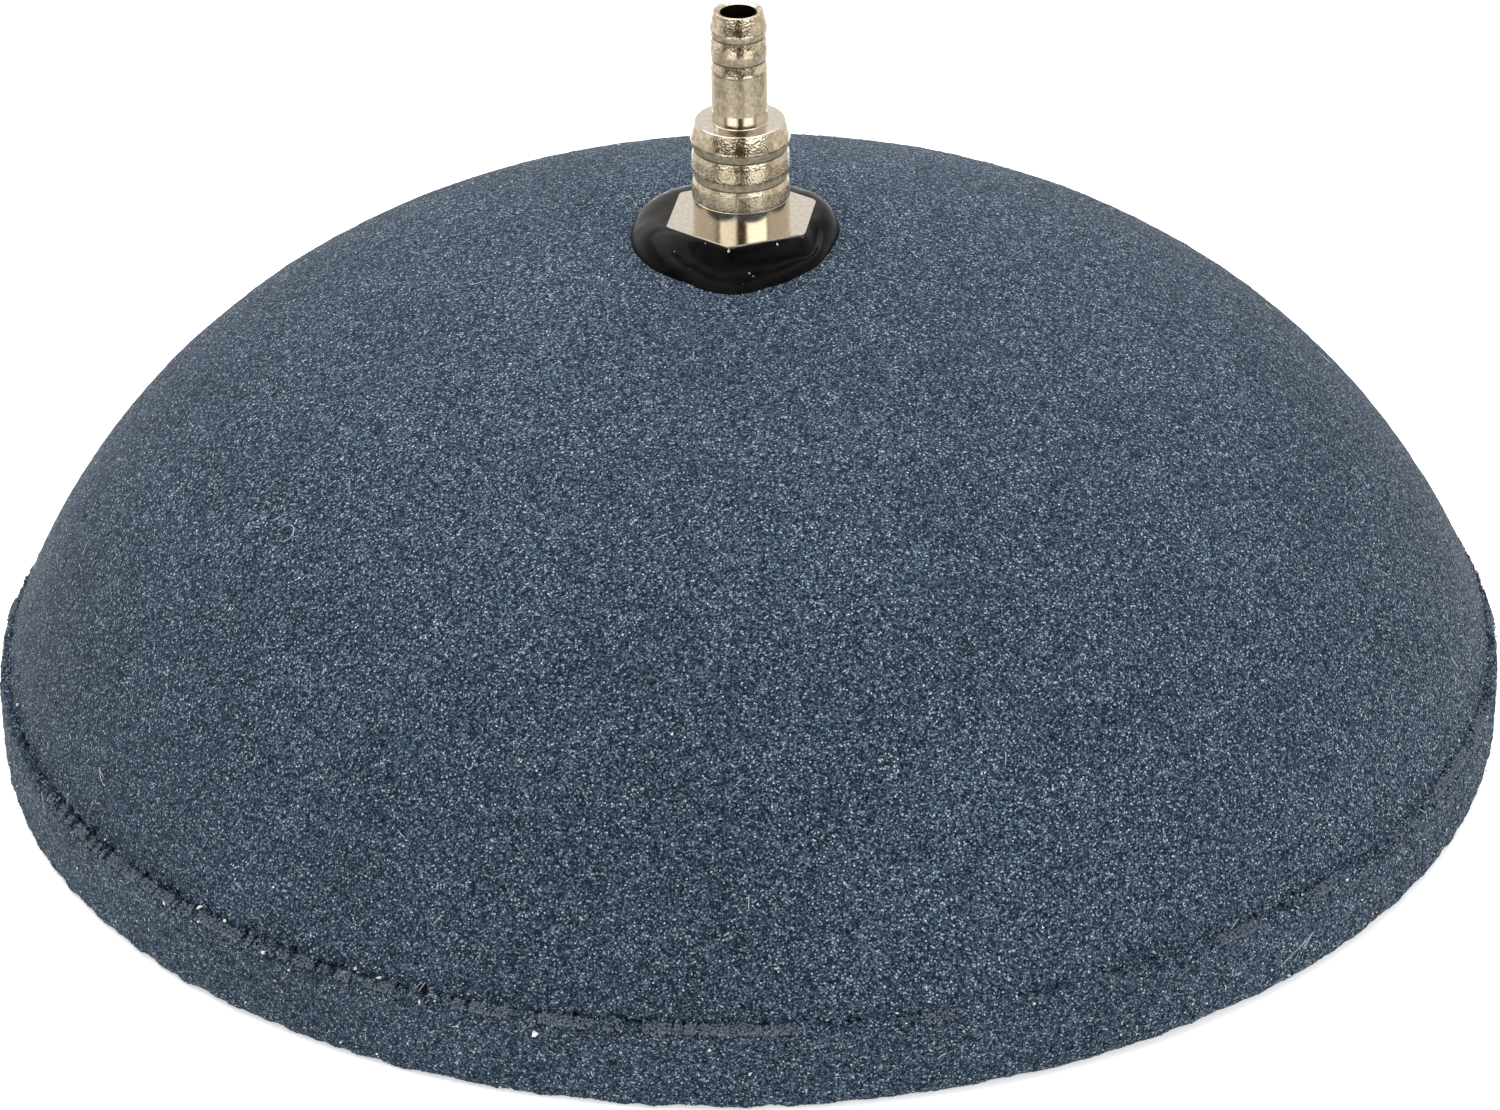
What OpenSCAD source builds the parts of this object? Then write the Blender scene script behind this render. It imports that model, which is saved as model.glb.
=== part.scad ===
// Dome gas diffuser: a hollow dome and a flat disc of bonded porous grit, fed
// through a stepped hose barb on the crown. The part stands on the disc's flat
// underside, with its origin at the centre of that face and +Z up the axis.

/* [Base disc] */
// Diameter of the base disc
base_d = 200; // [160:1:260]
// Thickness of the base disc
base_h = 10.9; // [8:0.1:16]
// Bevel round the disc's lower edge
base_bevel = 1.2; // [0.4:0.1:2]
// Bevel round the disc's upper edge
base_top_bevel = 0.7; // [0.3:0.1:1.5]

/* [Seam] */
// Thickness of the adhesive between dome and disc
bond_t = 0.4; // [0.2:0.1:0.8]
// How far the adhesive stops short of both faces of the dome's wall
bond_inset = 0.8; // [0.3:0.1:2]
// How far the disc stands out past the dome
seam_ledge = 1.1; // [0.6:0.1:3]

/* [Dome] */
// Thickness of the porous wall
wall = 12; // [8:0.5:16]
// Radius of the crown's arc, as a share of the disc's radius
crown_ratio = 1.45; // [1.3:0.01:1.7]
// Radius of the shoulder's arc, as a share of the disc's radius
shoulder_ratio = 0.84; // [0.8:0.01:0.95]
// Angle from the axis at which the crown's arc runs into the shoulder's
crown_angle = 20; // [15:1:25]
// Radius of the flat land that the fitting sits on
land_r = 11.5; // [11:0.1:12.5]
// Depth of that land below the crown
land_depth = 0.7; // [0.5:0.1:1.5]
// Radius of the thickened boss under the crown
boss_r = 17; // [16:0.5:22]
// How far the boss stands below the wall's inner face
boss_drop = 1.4; // [1.2:0.1:4]

/* [Inlet fitting] */
// Width of the fitting's hexagon across its flats
hex_af = 18; // [17:0.5:19]
// Thickness of the hexagon
hex_h = 3.5; // [3:0.1:5]
// Turn of the hexagon about the axis, in degrees
hex_turn = 20.7; // [0:0.1:60]
// Diameter of the gas passage
gas_bore_d = 4.6; // [3:0.1:5]
// Height of the large barb above the hexagon
large_h = 13.2; // [12.5:0.1:16]
// Diameter over the large barb's first ridge
large_ridge_d = 12.84; // [12.6:0.02:13.4]
// Diameter of the plain stem under the large barb
large_stem_d = 12.5; // [12.1:0.02:12.56]
// Diameter of the large barb's flat end
large_tip_d = 11.56; // [10.8:0.02:12]
// Height of the small barb above the large one
small_h = 15.1; // [12:0.1:18]
// Diameter over the small barb's first ridge
small_ridge_d = 7.36; // [7.2:0.02:7.8]
// Diameter of the plain stem under the small barb
small_stem_d = 7.22; // [6.9:0.02:7.22]
// Diameter of the small barb's flat end
small_tip_d = 6.32; // [6.1:0.02:6.6]
// Distance between the large barb's ridges
large_pitch = 3.9; // [3.4:0.1:4]
// Distance between the small barb's ridges
small_pitch = 2.75; // [2.3:0.05:3]

/* [Threaded shank and nut] */
// Outside diameter of the thread
thread_d = 14; // [13.8:0.1:14.4]
// Distance between thread crests
thread_pitch = 1.5; // [1:0.25:2]
// How far the shank reaches past the nut
shank_past_nut = 3; // [1:0.5:6]
// Width of the lock nut across its flats
nut_af = 22; // [20:1:24]
// Thickness of the lock nut
nut_h = 7; // [5:0.5:9]
// Outside diameter of the washer
washer_d = 28; // [25:1:30]
// Thickness of the washer
washer_h = 2.5; // [1:0.5:3]
// Outside diameter of the gasket
gasket_d = 30; // [28:1:32]
// Thickness of the gasket
gasket_h = 2; // [1:0.5:3]

/* [Sealant] */
// Radius of the sealant's edge on the crown
collar_r = 14.6; // [13.5:0.1:16]
// How far the sealant stops below the hexagon's upper face
collar_below_top = 0.4; // [0.2:0.1:1.5]

/* [Hidden] */
$fn = 96;

grit_blue = [0.25, 0.30, 0.38];
grit_blue_light = [0.31, 0.36, 0.44];
bond_dark = [0.10, 0.11, 0.13];
nickel = [0.78, 0.72, 0.62];
steel = [0.62, 0.63, 0.65];
brass = [0.74, 0.60, 0.34];
sealant_black = [0.03, 0.03, 0.03];
gasket_black = [0.09, 0.09, 0.09];

// Radial clearance round the shank where it passes through the dome
hole_clear = 0.5;
// Radial clearance between the nut's thread and the shank's
thread_clear = 0.08;
// Shortest cut that breaks a sharp corner
edge = 0.3;
// Amount by which a cutting solid passes the face that it cuts
past = 1;

seam_z = base_h + bond_t;

// The dome's outline is two arcs that share a tangent where they meet. The
// crown's arc is centred on the axis, and the shoulder's arc ends at the seam.
crown_arc = crown_ratio * base_d / 2;
shoulder_arc = shoulder_ratio * base_d / 2;
shoulder_x = (crown_arc - shoulder_arc) * sin(crown_angle);
seam_sin = min((base_d / 2 - seam_ledge - shoulder_x) / shoulder_arc, 0.995);
seam_angle = asin(seam_sin);
dome_r = shoulder_x + shoulder_arc * seam_sin;
shoulder_z = seam_z - shoulder_arc * cos(seam_angle);
crown_z = shoulder_z - (crown_arc - shoulder_arc) * cos(crown_angle);

// The wall's inner face runs parallel to the outer one
inner_crown_arc = crown_arc - wall;
inner_shoulder_arc = shoulder_arc - wall;
inner_seam_angle = acos((seam_z - shoulder_z) / inner_shoulder_arc);
inner_seam_r = shoulder_x + inner_shoulder_arc * sin(inner_seam_angle);

land_z = crown_z + crown_arc - land_depth;
boss_z = crown_z + inner_crown_arc - boss_drop;
hole_r = thread_d / 2 + hole_clear;

hex_top_z = land_z + hex_h;
large_top_z = hex_top_z + large_h;
small_top_z = large_top_z + small_h;

gasket_z = boss_z - gasket_h;
washer_z = gasket_z - washer_h;
nut_z = washer_z - nut_h;
shank_end_z = nut_z - shank_past_nut;

arc_steps = 8;

// A point on an arc about (x, z), at an angle measured from the axis
function arc_point(x, z, r, a) = [x + r * sin(a), z + r * cos(a)];

// Points along an arc about (x, z) between two angles from the axis
function arc(x, z, r, from, to) =
    [for (i = [0:arc_steps]) arc_point(x, z, r, from + (to - from) * i / arc_steps)];

function crown_at(r) = arc_point(0, crown_z, crown_arc, asin(r / crown_arc));

function inner_crown_at(r) =
    arc_point(0, crown_z, inner_crown_arc, asin(r / inner_crown_arc));

function dome_outline() = concat(
    [[hole_r, land_z], [land_r, land_z], crown_at(land_r)],
    arc(0, crown_z, crown_arc, asin(collar_r / crown_arc), crown_angle),
    arc(shoulder_x, shoulder_z, shoulder_arc,
        crown_angle + seam_angle / arc_steps, seam_angle),
    arc(shoulder_x, shoulder_z, inner_shoulder_arc, inner_seam_angle, crown_angle),
    arc(0, crown_z, inner_crown_arc,
        crown_angle - crown_angle / arc_steps, asin(boss_r / inner_crown_arc)),
    [[boss_r, boss_z], [hole_r, boss_z]]);

// Outline of one barb's outer face, from its foot at z up to its flat end. Each
// ridge widens downwards, ends in a short land and a bevel, and has a fine
// groove under it. Lower ridges are a little smaller than the first.
barb_ridges = 3;
barb_first_drop = 2.55;
barb_land = 0.3;

function barb_outline(z, h, tip_r, ridge_r, taper, pitch, bevel_h, neck, stem_r) =
    let (first = z + h - barb_first_drop, last = barb_ridges - 1)
    concat(
        [[stem_r, z], [stem_r, first - last * pitch - 0.15]],
        [for (i = [last:-1:0])
            let (w = first - i * pitch, r = ridge_r - i * taper, above = w + pitch - bevel_h)
            each concat(
                [[r, w], [r, w + barb_land]],
                i == 0 ? [] : [[r - neck + 0.06, above - 0.2], [r - neck - 0.04, above - 0.1],
                               [r - neck + 0.12, above]])],
        [[tip_r, z + h]]);

// Outline of a ring-grooved thread between two heights, grown outwards by clear
thread_depth = 0.61 * thread_pitch;

function thread_outline(from, to, clear) =
    let (r = thread_d / 2 + clear, turns = floor((to - from) / thread_pitch))
    [for (i = [0:turns - 1]) let (z = from + i * thread_pitch)
        each [[r - thread_depth, z + thread_pitch * 0.08],
              [r, z + thread_pitch * 0.44],
              [r, z + thread_pitch * 0.56],
              [r - thread_depth, z + thread_pitch * 0.92]]];

module ring(z, h, outer_r, inner_r) {
    translate([0, 0, z])
        difference() {
            cylinder(r = outer_r, h = h);
            translate([0, 0, -past]) cylinder(r = inner_r, h = h + 2 * past);
        }
}

module hexagon(z, h, af) {
    translate([0, 0, z]) cylinder(r = af / sqrt(3), h = h, $fn = 6);
}

module base_disc() {
    r = base_d / 2;
    color(grit_blue_light)
        rotate_extrude()
            polygon([[0, 0], [r - base_bevel, 0], [r, base_bevel], [r, base_h - base_top_bevel],
                     [r - base_top_bevel, base_h], [0, base_h]]);
}

module seam_bond() {
    color(bond_dark) ring(base_h, bond_t, dome_r - bond_inset, inner_seam_r + bond_inset);
}

module dome_shell() {
    color(grit_blue) rotate_extrude() polygon(dome_outline());
}

// The turned part of the fitting, with a plain neck under the hexagon
module turned_body() {
    neck_r = thread_d / 2 - thread_depth;
    neck_z = land_z - 1.5;
    lip = 0.45;
    bore_r = gas_bore_d / 2;
    rotate_extrude()
        polygon(concat(
            [[bore_r, shank_end_z], [neck_r, shank_end_z]],
            thread_outline(shank_end_z, neck_z, 0),
            [[neck_r, neck_z], [neck_r, land_z + past], [large_stem_d / 2, land_z + past]],
            barb_outline(hex_top_z, large_h, large_tip_d / 2, large_ridge_d / 2, 0.045,
                         large_pitch, 1.1, 0.3, large_stem_d / 2),
            barb_outline(large_top_z, small_h, small_tip_d / 2, small_ridge_d / 2, 0.015,
                         small_pitch, 0.75, 0.24, small_stem_d / 2),
            [[bore_r + lip, small_top_z], [bore_r, small_top_z - lip * 0.7]]));
}

module inlet_fitting() {
    color(nickel)
        union() {
            turned_body();
            difference() {
                rotate([0, 0, hex_turn]) hexagon(land_z, hex_h, hex_af);
                translate([0, 0, land_z - past]) cylinder(d = gas_bore_d + edge, h = hex_h + 2 * past);
            }
        }
}

// A mound of sealant round the hexagon, with its underside on the dome
module sealant_collar() {
    inner_r = hex_af / 2 - edge;
    foot = crown_at(collar_r);
    rise = hex_top_z - collar_below_top - foot[1];
    mound = [for (i = [0:arc_steps]) let (a = 90 * i / arc_steps)
        [inner_r + (collar_r - inner_r) * cos(a), foot[1] + rise * sin(a)]];
    color(sealant_black)
        difference() {
            rotate_extrude()
                polygon(concat([[inner_r, land_z], [land_r, land_z], crown_at(land_r)], mound));
            rotate([0, 0, hex_turn]) hexagon(land_z - past, hex_h + 2 * past, hex_af);
        }
}

module inner_gasket() {
    color(gasket_black) ring(gasket_z, gasket_h, gasket_d / 2, hole_r);
}

module inner_washer() {
    color(steel) ring(washer_z, washer_h, washer_d / 2, hole_r);
}

module lock_nut() {
    r = nut_af / sqrt(3);
    bevel = r - nut_af / 2;
    color(brass)
        difference() {
            intersection() {
                hexagon(nut_z, nut_h, nut_af);
                rotate_extrude()
                    polygon([[0, nut_z], [nut_af / 2, nut_z], [r + edge, nut_z + (bevel + edge) / 2],
                             [r + edge, nut_z + nut_h], [0, nut_z + nut_h]]);
            }
            rotate_extrude()
                polygon(concat([[0, shank_end_z]],
                               thread_outline(shank_end_z, washer_z + 2 * thread_pitch, thread_clear),
                               [[0, washer_z + 2 * thread_pitch]]));
        }
}

base_disc();
seam_bond();
dome_shell();
inlet_fitting();
sealant_collar();
inner_gasket();
inner_washer();
lock_nut();
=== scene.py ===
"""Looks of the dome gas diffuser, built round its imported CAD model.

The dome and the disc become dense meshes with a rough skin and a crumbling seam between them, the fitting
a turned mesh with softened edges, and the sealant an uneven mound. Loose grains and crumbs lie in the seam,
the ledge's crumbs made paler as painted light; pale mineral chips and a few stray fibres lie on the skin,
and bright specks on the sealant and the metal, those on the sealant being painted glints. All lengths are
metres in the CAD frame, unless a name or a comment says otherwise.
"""
import math

import bmesh
import bpy
import numpy as np
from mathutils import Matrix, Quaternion, Vector, noise


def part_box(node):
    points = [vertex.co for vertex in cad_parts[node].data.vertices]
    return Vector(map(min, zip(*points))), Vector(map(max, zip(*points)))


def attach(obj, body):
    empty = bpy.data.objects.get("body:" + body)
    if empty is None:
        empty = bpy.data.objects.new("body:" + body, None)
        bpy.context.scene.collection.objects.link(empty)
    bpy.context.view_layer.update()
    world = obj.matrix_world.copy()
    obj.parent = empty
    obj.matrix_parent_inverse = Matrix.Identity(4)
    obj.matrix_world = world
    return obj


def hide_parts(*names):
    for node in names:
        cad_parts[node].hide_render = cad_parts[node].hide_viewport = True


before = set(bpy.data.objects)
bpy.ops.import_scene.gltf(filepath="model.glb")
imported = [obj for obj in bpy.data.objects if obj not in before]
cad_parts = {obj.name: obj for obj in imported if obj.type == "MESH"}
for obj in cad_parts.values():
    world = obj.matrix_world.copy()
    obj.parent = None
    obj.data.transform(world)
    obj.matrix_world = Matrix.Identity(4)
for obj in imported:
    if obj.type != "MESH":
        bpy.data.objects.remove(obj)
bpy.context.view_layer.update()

MM = 0.001

# ---------------------------------------------------------------- sizes from the frame
disc_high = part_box("base_disc")[1]
dome_low, dome_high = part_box("dome_shell")
fitting_low, fitting_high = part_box("inlet_fitting")

DISC_R = disc_high.x
DISC_TOP = disc_high.z
SEAM_Z = dome_low.z
DOME_R = dome_high.x

# The dome's outline: a crown arc on the axis, then a shoulder arc that shares its tangent
CROWN_ARC = 1.45 * DISC_R
SHOULDER_ARC = 0.84 * DISC_R
CROWN_ANGLE = math.radians(20)
WALL = 12 * MM
SHOULDER_X = (CROWN_ARC - SHOULDER_ARC) * math.sin(CROWN_ANGLE)
SEAM_ANGLE = math.asin((DOME_R - SHOULDER_X) / SHOULDER_ARC)
SHOULDER_Z = SEAM_Z - SHOULDER_ARC * math.cos(SEAM_ANGLE)
CROWN_Z = SHOULDER_Z - (CROWN_ARC - SHOULDER_ARC) * math.cos(CROWN_ANGLE)
LAND_R = 11.5 * MM
LAND_Z = CROWN_Z + CROWN_ARC - 0.7 * MM
SHANK_HOLE_R = 7.5 * MM

# The fitting: heights above the land, and radii
HEX_AF = 18 * MM
HEX_CORNER = HEX_AF / math.sqrt(3)
HEX_TURN = math.radians(20.7)
HEX_TOP = LAND_Z + 3.5 * MM
LARGE_TOP = HEX_TOP + 13.2 * MM
SMALL_TOP = fitting_high.z
BORE_R = 2.3 * MM

# Segments round a ring: the skin's, and three times as many where grains show on an edge
COARSE = 756
FINE = 3 * COARSE

# The grit: cells per metre of its grain pattern, and the shades of its grains, from the darkest
GRAIN_SCALE = 4800.0
GRAIN_SHADES = ((0.0, (0.002, 0.006, 0.016)), (0.25, (0.010, 0.026, 0.053)),
                (0.58, (0.043, 0.076, 0.123)), (0.82, (0.108, 0.158, 0.218)),
                (0.95, (0.238, 0.305, 0.372)), (1.0, (0.545, 0.610, 0.665)))

# The crack in the seam: sizes of its slow, quick and grain-by-grain changes round the rim
CRACK_SLOW = 35 * MM
CRACK_QUICK = 3.1 * MM
CRACK_CRUMB = 0.75 * MM

# The dome's lip: how far up it wears, how far in and up the wear goes, and its pits' size, depth and band
LIP_REACH = 2.2 * MM
LIP_WEAR_IN = 0.70 * MM
LIP_WEAR_UP = 0.28 * MM
PIT_SIZE = 0.75 * MM
PIT_DEPTH = 0.75 * MM
PIT_BAND = 2.0 * MM

# The disc's edge: the fillet of grains that bridges the seam, the nibbles in it, and the chipped foot
FILLET_HEIGHT = 0.85 * MM
FILLET_REACH = 1.1 * MM
NIBBLE_SIZE = 1.1 * MM
NIBBLE_DEPTH = 0.9 * MM
CHIP_SIZE = 3.2 * MM
CHIPPED_HEIGHT = 2.4 * MM


def crown_height(r):
    """Height of the dome's outer face at a radius inside the crown's arc."""
    return CROWN_Z + math.sqrt(CROWN_ARC ** 2 - r ** 2)


def skin(s):
    """Radius, height and outward slope of the outer skin at a distance s up its outline from the floor."""
    if s <= SEAM_Z:
        return DISC_R, s, math.pi / 2
    shoulder_length = SHOULDER_ARC * (SEAM_ANGLE - CROWN_ANGLE)
    beyond = s - SEAM_Z
    if beyond <= shoulder_length:
        angle = SEAM_ANGLE - beyond / SHOULDER_ARC
        r = SHOULDER_X + SHOULDER_ARC * math.sin(angle)
        return r, SHOULDER_Z + SHOULDER_ARC * math.cos(angle), angle
    angle = CROWN_ANGLE - (beyond - shoulder_length) / CROWN_ARC
    return CROWN_ARC * math.sin(angle), CROWN_Z + CROWN_ARC * math.cos(angle), angle


def skin_point(azimuth, s, lift):
    """Point lifted off the outer skin, and its outward direction. Azimuth is in radians."""
    r, z, slope = skin(s)
    out = Vector((math.cos(azimuth) * math.sin(slope), math.sin(azimuth) * math.sin(slope), math.cos(slope)))
    return Vector((r * math.cos(azimuth), r * math.sin(azimuth), z)) + out * lift, out


# ---------------------------------------------------------------- meshes
def add_mesh(name, verts, faces, smooth=True):
    mesh = bpy.data.meshes.new(name)
    mesh.from_pydata([tuple(v) for v in verts], [], faces)
    if smooth:
        mesh.shade_smooth()
    piece = bpy.data.objects.new(name, mesh)
    bpy.context.scene.collection.objects.link(piece)
    return piece


def face_outward(piece):
    bm = bmesh.new()
    bm.from_mesh(piece.data)
    bmesh.ops.recalc_face_normals(bm, faces=bm.faces)
    bm.to_mesh(piece.data)
    bm.free()


def strip(a, count_a, b, count_b):
    """Faces between two rings that start at a and b. Counts are equal, three to one, or one is a point."""
    if count_a == 1 or count_b > count_a > 1:
        return [face[::-1] for face in strip(b, count_b, a, count_a)]
    if count_b == 1:
        return [(a + j, a + (j + 1) % count_a, b) for j in range(count_a)]
    if count_a == count_b:
        return [(a + j, a + (j + 1) % count_a, b + (j + 1) % count_a, b + j) for j in range(count_a)]
    faces = []
    for j in range(count_b):
        here, beside = b + j, b + (j + 1) % count_b
        f = [a + (3 * j + i) % count_a for i in range(4)]
        faces += [(f[0], f[1], here), (f[1], f[2], beside, here), (f[2], f[3], beside)]
    return faces


def ring_mesh(name, rings, loop=False):
    """A closed mesh through rings of points. A loop joins its last ring to its first."""
    rings = [np.asarray(ring).reshape(-1, 3) for ring in rings]
    starts = [0]
    for ring in rings:
        starts.append(starts[-1] + len(ring))
    faces = []
    for i in range(len(rings) if loop else len(rings) - 1):
        k = (i + 1) % len(rings)
        faces += strip(starts[i], len(rings[i]), starts[k], len(rings[k]))
    piece = add_mesh(name, np.concatenate(rings), faces)
    face_outward(piece)
    return piece


def ring_angles(segments):
    return np.linspace(0, 2 * math.pi, segments, endpoint=False)


def lathe_points(outline, segments):
    """Array (ring, segment, xyz) of an outline of (radius, height) turned about the axis."""
    turn = ring_angles(segments)
    r = np.array([p[0] for p in outline])[:, None]
    z = np.array([p[1] for p in outline])[:, None]
    return np.stack([r * np.cos(turn), r * np.sin(turn), z + 0 * turn], axis=2)


def arc_points(x, z, radius, start, end, step):
    """Points (radius, height) along an arc round a centre. Its angles are measured from straight up."""
    count = max(2, int(abs(end - start) * radius / step) + 1)
    angles = np.linspace(start, end, count)
    return [(x + radius * math.sin(a), z + radius * math.cos(a)) for a in angles]


def smooth_noise(points, size, seed):
    """Soft noise from -1 to 1 at each point, with features about size across."""
    shift = Vector((seed * 3.7, seed * 1.3, seed * 2.1))
    flat = points.reshape(-1, 3) / size
    values = [noise.noise(Vector(p) + shift) for p in flat]
    return np.array(values).reshape(points.shape[:-1])


def rounded(outline, radius):
    """The outline with each inner corner replaced by a short curve, for softened edges."""
    steps = 3
    result = [outline[0]]
    for before, here, after in zip(outline, outline[1:], outline[2:]):
        p, q, s = Vector(before), Vector(here), Vector(after)
        reach = min(radius, (p - q).length * 0.45, (s - q).length * 0.45)
        start, end = q + (p - q).normalized() * reach, q + (s - q).normalized() * reach
        for i in range(steps + 1):
            t = i / steps
            point = start * (1 - t) ** 2 + q * 2 * t * (1 - t) + end * t ** 2
            result.append((point.x, point.y))
    return result + [outline[-1]]


# ---------------------------------------------------------------- grit: dome and disc
def bell(angles, centre_degrees, width_degrees):
    """1 at the centre azimuth, falling away smoothly on both sides."""
    apart = (np.degrees(angles) - centre_degrees + 180) % 360 - 180
    return np.exp(-(apart / width_degrees) ** 2)


def seam_opening(segments):
    """How far open the seam is at each azimuth, from 0 (grains bridge it) to 1 (a clear crack)."""
    angles = ring_angles(segments)
    circle = np.stack([np.cos(angles), np.sin(angles), 0 * angles], axis=1) * DISC_R
    slow = smooth_noise(circle, CRACK_SLOW, 11)
    quick = smooth_noise(circle, CRACK_QUICK, 12)
    crumb = smooth_noise(circle, CRACK_CRUMB, 13)
    # the crack shows most at the front left, and least at the front right
    base = -0.04 + 0.26 * bell(angles, 222, 30) - 0.08 * bell(angles, 300, 50)
    return np.clip(base + 0.2 * slow + 0.35 * quick + 1.2 * crumb, 0, 1)


def roughen(points, grain, wave, swell, seed):
    """Moves skin points out and in by single grains, clumps and soft swells, and slides them a little."""
    clump_size, swell_size = 2.0 * MM, 14 * MM
    slide = 0.16
    rng = np.random.default_rng(seed)
    tangent_u = np.roll(points, -1, axis=1) - np.roll(points, 1, axis=1)
    tangent_v = np.gradient(points, axis=0)
    normal = np.cross(tangent_u, tangent_v)
    normal /= np.linalg.norm(normal, axis=2, keepdims=True) + 1e-12
    centre = points.mean(axis=(0, 1))
    if ((points - centre) * normal).sum() < 0:
        normal = -normal
    push = rng.normal(0, 0.5, points.shape[:2]).clip(-1, 1) * grain
    push += smooth_noise(points, clump_size, seed + 1) * wave
    push += smooth_noise(points, swell_size, seed + 2) * swell
    moved = points + normal * push[..., None]
    moved += rng.uniform(-slide, slide, points.shape[:2])[..., None] * tangent_u
    return moved + rng.uniform(-slide, slide, points.shape[:2])[..., None] * tangent_v


def dome_mesh():
    """The dome: a rough skin down to its worn, pitted lip at the seam, and a plain hollow inside."""
    lip_angle = SEAM_ANGLE - 3.6 * MM / SHOULDER_ARC
    skin_step, lip_step = 1.08 * MM, 0.33 * MM
    crown = arc_points(0, CROWN_Z, CROWN_ARC, math.asin(LAND_R / CROWN_ARC), CROWN_ANGLE, skin_step)
    shoulder = arc_points(SHOULDER_X, SHOULDER_Z, SHOULDER_ARC, CROWN_ANGLE, lip_angle, skin_step)[1:]
    upper = lathe_points(crown + shoulder, COARSE)
    upper[2:] = roughen(upper, grain=0.07 * MM, wave=0.08 * MM, swell=0.10 * MM, seed=7)[2:]

    lip_arc = arc_points(SHOULDER_X, SHOULDER_Z, SHOULDER_ARC, lip_angle, SEAM_ANGLE, lip_step)[1:]
    lip = lathe_points(lip_arc + [(DOME_R - 0.25 * MM, SEAM_Z - 0.02 * MM)], FINE)
    lip = roughen(lip, grain=0.09 * MM, wave=0.16 * MM, swell=0.12 * MM, seed=17)
    # the lip crumbles where the crack is open: its last grains are gone, and it rounds over
    opening = seam_opening(FINE)
    height = np.clip((lip[..., 2] - SEAM_Z) / LIP_REACH, 0, 1)
    wear = opening * (1 - height) ** 2.2
    lip[..., :2] *= 1 - wear[..., None] * LIP_WEAR_IN / DOME_R
    lip[..., 2] += wear * LIP_WEAR_UP
    # pits where single grains are missing, in a band above the seam, most of them at the front left
    angles = ring_angles(FINE)
    pits = smooth_noise(lip, PIT_SIZE, 19) - 0.14 + 0.16 * bell(angles, 225, 34)
    pits = np.clip(pits * 2.2, 0, 1) * np.clip(1.15 - (lip[..., 2] - SEAM_Z) / PIT_BAND, 0, 1)
    lip[..., :2] *= 1 - pits[..., None] * PIT_DEPTH / DOME_R

    inside_step = 14 * MM
    inner_r = SHOULDER_ARC - WALL
    inner_seam = math.acos((SEAM_Z - SHOULDER_Z) / inner_r)
    inside = arc_points(SHOULDER_X, SHOULDER_Z, inner_r, inner_seam, CROWN_ANGLE, inside_step)
    boss_angle, boss_r = 0.13, 17 * MM
    inside += arc_points(0, CROWN_Z, CROWN_ARC - WALL, CROWN_ANGLE, boss_angle, inside_step)[1:]
    boss_z = CROWN_Z + CROWN_ARC - WALL - 1.4 * MM
    back = inside + [(boss_r, boss_z), (SHANK_HOLE_R, boss_z), (SHANK_HOLE_R, LAND_Z), (LAND_R, LAND_Z)]
    face = lathe_points([(DOME_R - 1.3 * MM, SEAM_Z)], FINE)
    return ring_mesh("grit_dome", [*upper, *lip, *face, *lathe_points(back, COARSE)], loop=True)


def disc_mesh():
    """The disc: a rough band up its side and over the ledge, between a flat underside and a flat top."""
    r, top = DISC_R, DISC_TOP
    foot_round, top_round = 1.3 * MM, 0.9 * MM
    foot = [(r - foot_round * (1 - math.sin(a)), foot_round * (1 - math.cos(a)))
            for a in np.linspace(0, math.pi / 2, 7)]
    side = [(r, z) for z in np.linspace(foot_round, top - top_round, 26)[1:]]
    bevel = [(r - top_round * (1 - math.cos(a)), top - top_round * (1 - math.sin(a)))
             for a in np.linspace(0.25, math.pi / 2, 5)]
    ledge = [(r - x * MM, top) for x in (1.15, 1.45, 1.8, 2.3)]
    band = lathe_points(foot + side + bevel + ledge, FINE)
    band = roughen(band, grain=0.11 * MM, wave=0.20 * MM, swell=0.14 * MM, seed=27)

    angles = ring_angles(FINE)
    # the foot is chipped, and worn back towards the front right
    height = np.clip(band[..., 2] / CHIPPED_HEIGHT, 0, 1)
    low = (1 - height) ** 1.5
    worn = 0.15 + 0.95 * bell(angles, 308, 32) * (np.degrees(angles) > 275.5)
    chips = smooth_noise(band, CHIP_SIZE, 31) * 0.55
    band[..., :2] *= 1 - (low * (worn + chips) * MM / DISC_R)[..., None]
    # where grains bridge the seam, the ledge rises in a fillet to meet the dome
    closing = 1 - seam_opening(FINE)
    inward = np.clip((r - np.hypot(band[..., 0], band[..., 1])) / FILLET_REACH, 0, 1)
    near_top = np.clip((band[..., 2] - top + 1.2 * MM) / (1.2 * MM), 0, 1)
    band[..., 2] += np.clip(closing * 1.25 - 0.3, 0, 1) * inward ** 1.5 * near_top * FILLET_HEIGHT
    # the ledge's edge is nibbled between the crumbs
    nibble = np.clip(smooth_noise(band, NIBBLE_SIZE, 33) + 0.1 * bell(angles, 226, 40), 0, 1) * near_top
    band[..., :2] *= 1 - (nibble * NIBBLE_DEPTH / DISC_R)[..., None]
    band[..., 2] = np.maximum(band[..., 2], 0)

    under = [(x * MM, 0.0) for x in (96.5, 93, 89, 85, 80, 75, 70, 65)]
    under_rings = [*lathe_points(under, COARSE)]
    for x, segments in ((55, COARSE // 3), (45, COARSE // 3), (35, COARSE // 3), (25, COARSE // 9),
                        (15, COARSE // 9), (8, COARSE // 27)):
        under_rings += [*lathe_points([(x * MM, 0.0)], segments)]
    top_rings = []
    for x, segments in ((95, COARSE), (70, COARSE // 3), (40, COARSE // 9), (15, COARSE // 27)):
        top_rings += [*lathe_points([(x * MM, top)], segments)]
    rings = [[(0, 0, 0)], *under_rings[::-1], *band, *top_rings, [(0, 0, top)]]
    return ring_mesh("grit_disc", rings)


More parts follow.
